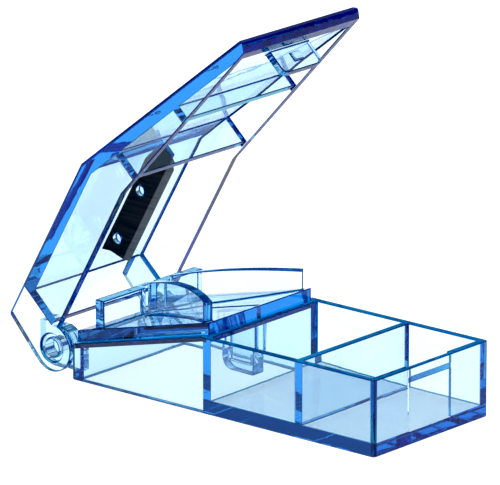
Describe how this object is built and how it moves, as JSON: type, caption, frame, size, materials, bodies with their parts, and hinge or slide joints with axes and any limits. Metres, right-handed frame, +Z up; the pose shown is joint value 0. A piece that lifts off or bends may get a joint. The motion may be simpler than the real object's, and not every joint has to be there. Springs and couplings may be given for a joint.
{
  "type": "pill cutter",
  "caption": "Hinged pocket pill cutter in clear blue plastic: open storage tray, sloped cutting deck with V guides and a slot, and a peaked lid that carries a straight steel blade.",
  "frame": {"origin": "on the underside of the base, half way across it and half way along it from the housing's rear wall to the tray's front wall", "axes": "+X along the base towards the tray's front wall, +Y across the base to the far side, +Z up; the lid stands open in this pose and hinges about an axis along Y at the -X end"},
  "size_m": [0.0922, 0.034, 0.0749],
  "materials": {
    "clear_blue_plastic": "polished, see-through",
    "dark_blade_steel": "satin, blackened"
  },
  "bodies": {
    "base": {"base_tray": "clear_blue_plastic", "cutting_deck": "clear_blue_plastic"},
    "lid": {"lid_shell": "clear_blue_plastic", "blade": "dark_blade_steel", "blade_holder": "clear_blue_plastic", "blade_stud_front": "clear_blue_plastic", "blade_stud_rear": "clear_blue_plastic", "hinge_pin_near": "clear_blue_plastic", "hinge_pin_far": "clear_blue_plastic"}
  },
  "joints": [
    {"name": "lid_hinge", "type": "hinge", "parent": "base", "child": "lid", "pos_m": [-0.0437, 0, 0.0053], "axis": [0, -1, 0], "range_deg": [-47, 8]}
  ]
}
